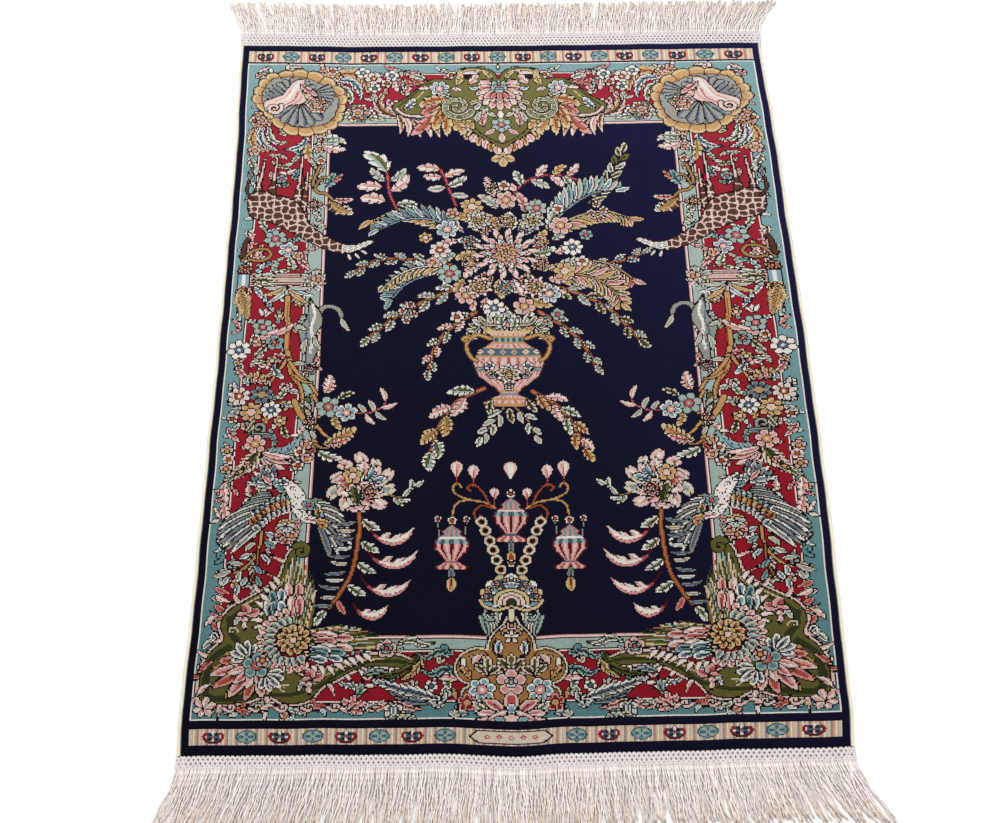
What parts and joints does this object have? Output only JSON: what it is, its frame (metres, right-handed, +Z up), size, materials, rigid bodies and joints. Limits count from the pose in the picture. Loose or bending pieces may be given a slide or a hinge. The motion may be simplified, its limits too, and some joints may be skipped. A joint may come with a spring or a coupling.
{
  "type": "oriental rug",
  "caption": "Small hand-knotted silk rug lying flat, with overcast selvedge cords, flat-woven end bands, and a knotted net heading and fringe at each end.",
  "frame": {"origin": "middle of the whole rug's footprint, fringe included, on the floor", "axes": "+Z up out of the pile, +Y along the rug's length from the near fringe to the far one, +X across its width"},
  "size_m": [0.6632, 1.0498, 0.004],
  "materials": {
    "silk_pile": "short cut silk pile with a soft sheen, knotted in navy, red, teal, olive, rose and cream",
    "selvedge_silk": "overcast cream silk cord",
    "fringe_silk": "twisted undyed silk warp ends, knotted into a net at the root"
  },
  "bodies": {
    "root": {"carpet": "silk_pile", "selvedge_left": "selvedge_silk", "selvedge_right": "selvedge_silk", "fringe_near": "fringe_silk", "fringe_far": "fringe_silk"}
  },
  "joints": []
}
